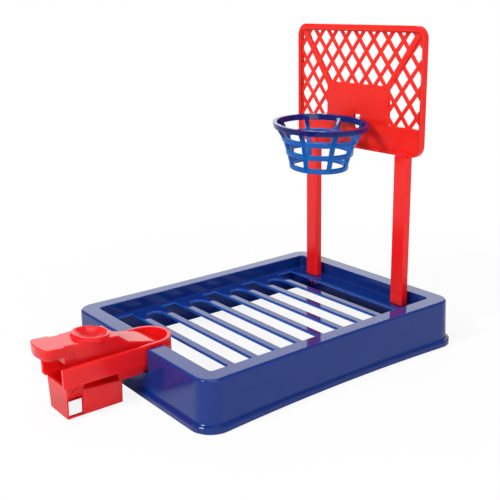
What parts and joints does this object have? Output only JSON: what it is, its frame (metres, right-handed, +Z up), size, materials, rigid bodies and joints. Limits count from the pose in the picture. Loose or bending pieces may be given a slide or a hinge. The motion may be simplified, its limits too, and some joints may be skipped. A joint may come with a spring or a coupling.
{
  "type": "tabletop basketball game",
  "caption": "Small tabletop basketball game: slatted tray, two posts with a lattice backboard and a basket, and a lever launcher in the front wall.",
  "frame": {"origin": "on the table, below the middle of the tray's rim", "axes": "+X across the tray, +Y along the tray from the launcher to the backboard, +Z up"},
  "size_m": [0.116, 0.1948, 0.1528],
  "materials": {
    "tray_plastic": "gloss",
    "post_plastic": "satin gloss",
    "board_plastic": "satin gloss",
    "hoop_plastic": "gloss",
    "launcher_plastic": "satin gloss"
  },
  "bodies": {
    "game": {"tray": "tray_plastic", "post_left": "post_plastic", "post_right": "post_plastic", "backboard": "board_plastic", "hoop_basket": "hoop_plastic", "launcher_housing": "launcher_plastic"},
    "lever": {"launch_lever": "launcher_plastic"}
  },
  "joints": [
    {"name": "lever_press", "type": "hinge", "parent": "game", "child": "lever", "pos_m": [0, -0.07, 0.0211], "axis": [1, 0, 0], "range_deg": [0, 8], "stiffness_Nm_per_rad": 0.12, "springref_deg": -14.32}
  ]
}
